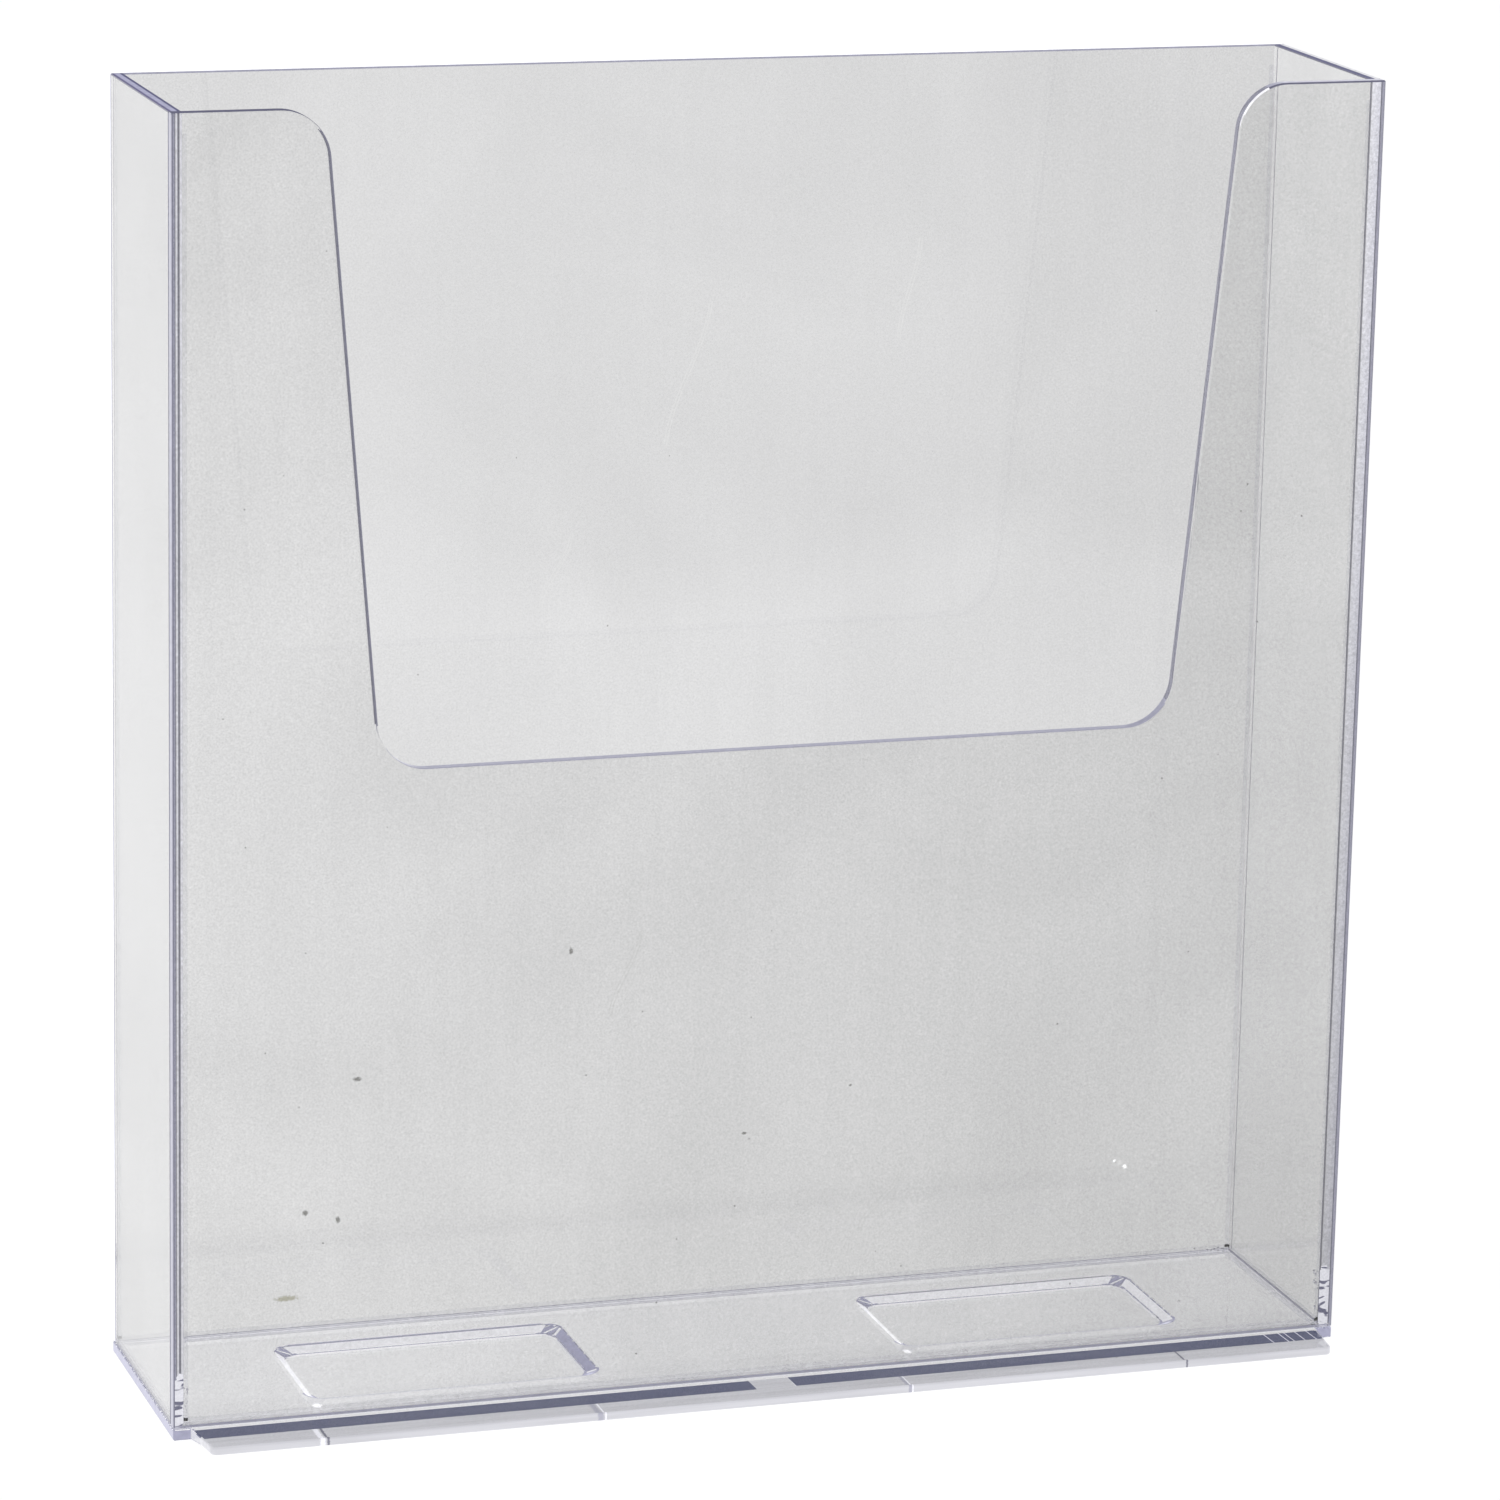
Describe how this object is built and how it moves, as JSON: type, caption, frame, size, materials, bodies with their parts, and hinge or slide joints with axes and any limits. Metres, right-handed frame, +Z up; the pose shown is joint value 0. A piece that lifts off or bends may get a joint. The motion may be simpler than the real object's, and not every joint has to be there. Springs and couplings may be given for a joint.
{
  "type": "brochure rack",
  "caption": "Clear single-pocket countertop brochure rack: flat cemented walls on a base plate with a front lip, and a wide finger cut-out in the front panel.",
  "frame": {"origin": "middle of the whole footprint, on the surface the rack stands on", "axes": "+Z up, +Y towards the back, +X to the right as seen from the front; the front panel and the lip face -Y"},
  "size_m": [0.235, 0.064, 0.251],
  "materials": {
    "clear_sheet": "polished clear sheet",
    "clear_base": "glossy clear moulding",
    "cement": "clear cured cement with fine bubbles"
  },
  "bodies": {
    "root": {"base_plate": "clear_base", "back_panel": "clear_sheet", "left_side_panel": "clear_sheet", "right_side_panel": "clear_sheet", "front_panel": "clear_sheet", "cement_floor_front": "cement", "cement_floor_right": "cement", "cement_floor_back": "cement", "cement_floor_left": "cement", "cement_corner_front_left": "cement", "cement_corner_front_right": "cement", "cement_corner_back_right": "cement", "cement_corner_back_left": "cement"}
  },
  "joints": []
}
